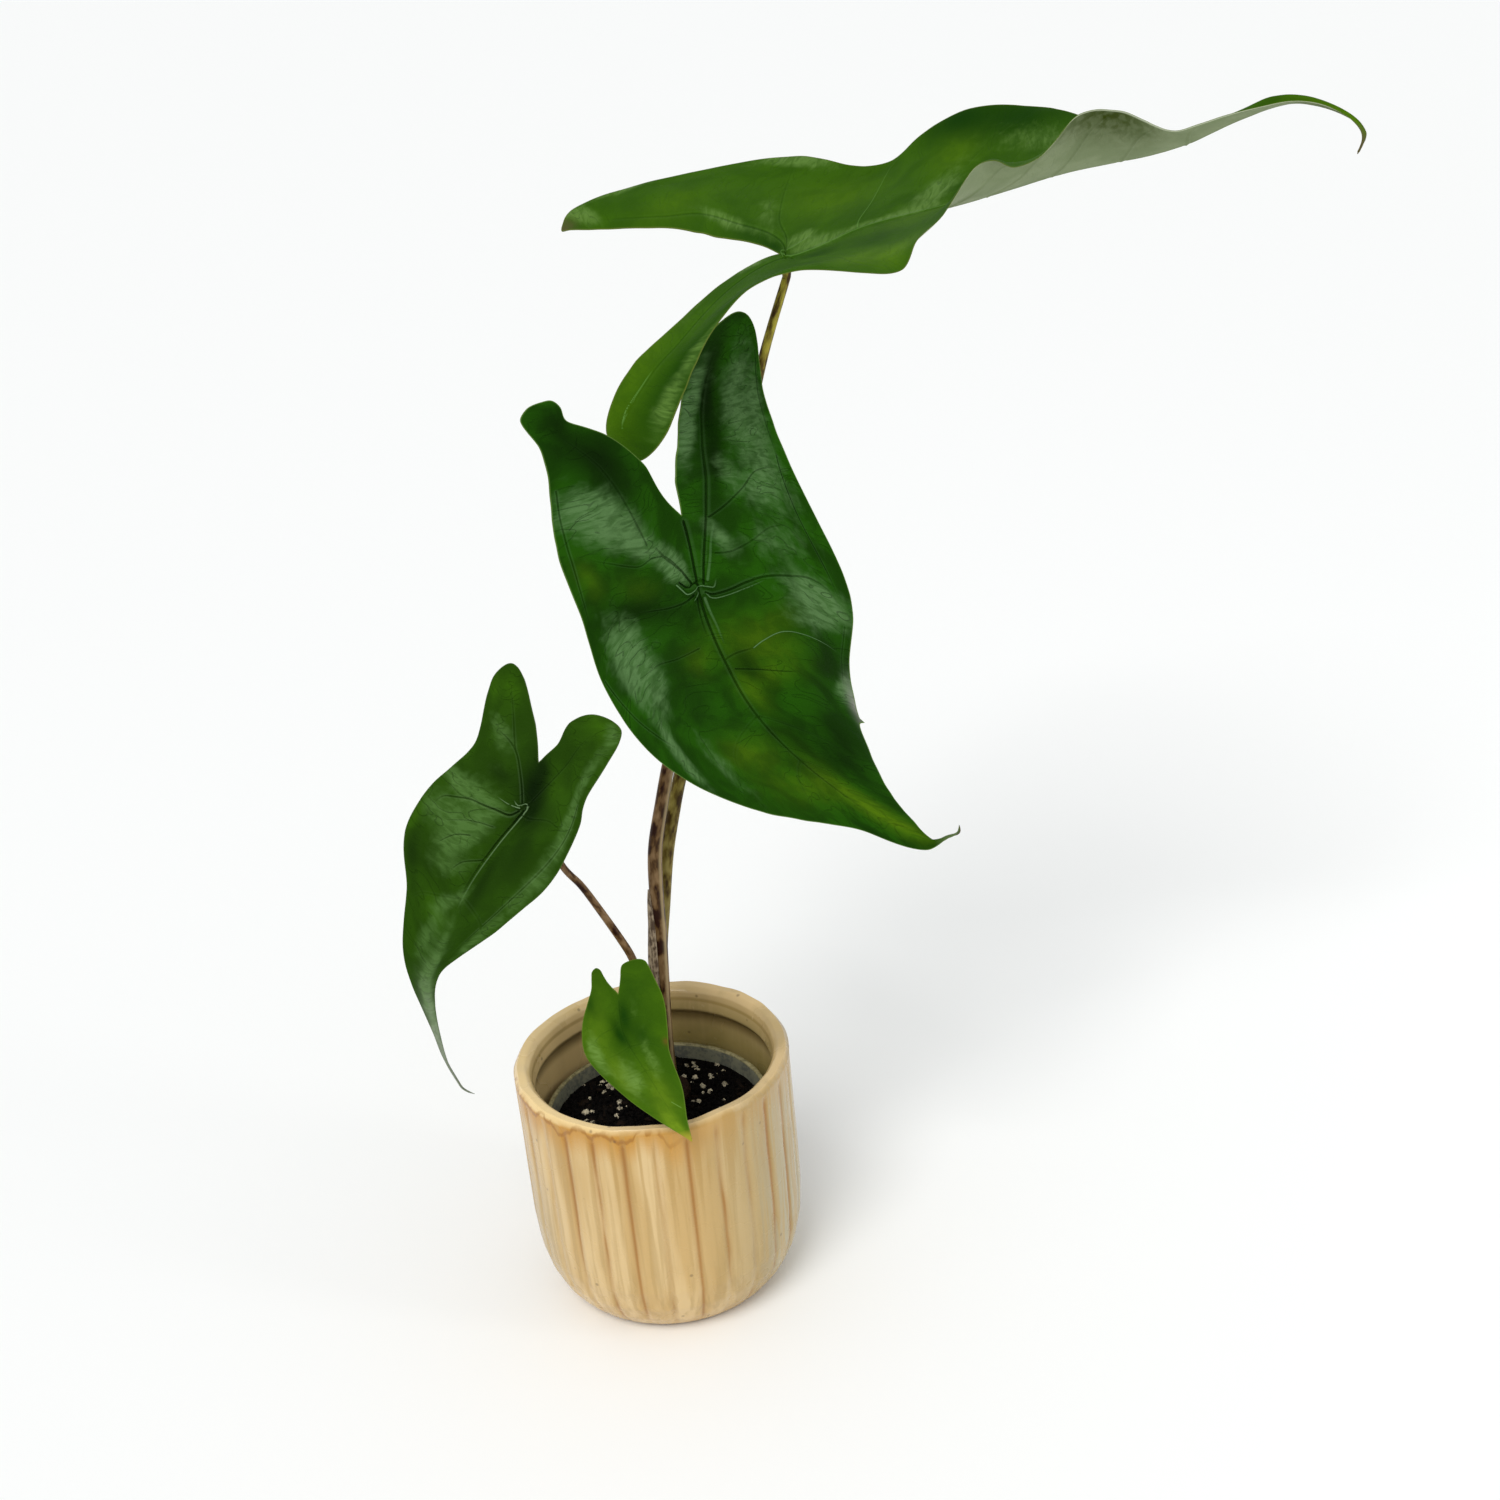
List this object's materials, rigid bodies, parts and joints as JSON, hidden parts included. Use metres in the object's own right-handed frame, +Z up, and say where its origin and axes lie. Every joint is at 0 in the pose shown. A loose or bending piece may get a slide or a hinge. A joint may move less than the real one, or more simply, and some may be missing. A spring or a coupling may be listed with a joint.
{
  "type": "potted alocasia",
  "caption": "Young alocasia with arrow-shaped leaves on mottled stalks, growing in a nursery pot inside a ribbed, drip-glazed stoneware cover pot.",
  "frame": {"origin": "centre of the flat foot of the stoneware pot, where it stands", "axes": "+Z up along the pot's axis, -Y towards the front, where the small leaf hangs over the lip, +X towards the tip of the highest leaf"},
  "size_m": [0.3203, 0.1618, 0.3597],
  "materials": {
    "glazed_stoneware": "glossy cream drip glaze over tan ribs, brown where it pools in the grooves",
    "nursery_plastic": "thin dark plastic, slightly glossy",
    "potting_mix": "rough, near-black damp mix with white perlite",
    "papery_skin": "thin dry brown skin",
    "green_stalk": "satin yellow-green with brown flecks",
    "mottled_stalk": "satin, dark brown mottling on pinkish tan",
    "dark_leaf": "glossy waxy deep green, veined",
    "green_leaf": "satin waxy mid green, veined, paler below"
  },
  "bodies": {
    "root": {"ceramic_pot": "glazed_stoneware", "nursery_pot": "nursery_plastic", "potting_mix": "potting_mix", "corm": "papery_skin", "petiole_top": "green_stalk", "petiole_middle": "mottled_stalk", "petiole_left": "mottled_stalk", "petiole_front": "mottled_stalk", "petiole_sheath": "papery_skin", "blade_top": "green_leaf", "blade_middle": "dark_leaf", "blade_left": "green_leaf", "blade_front": "green_leaf"}
  },
  "joints": []
}
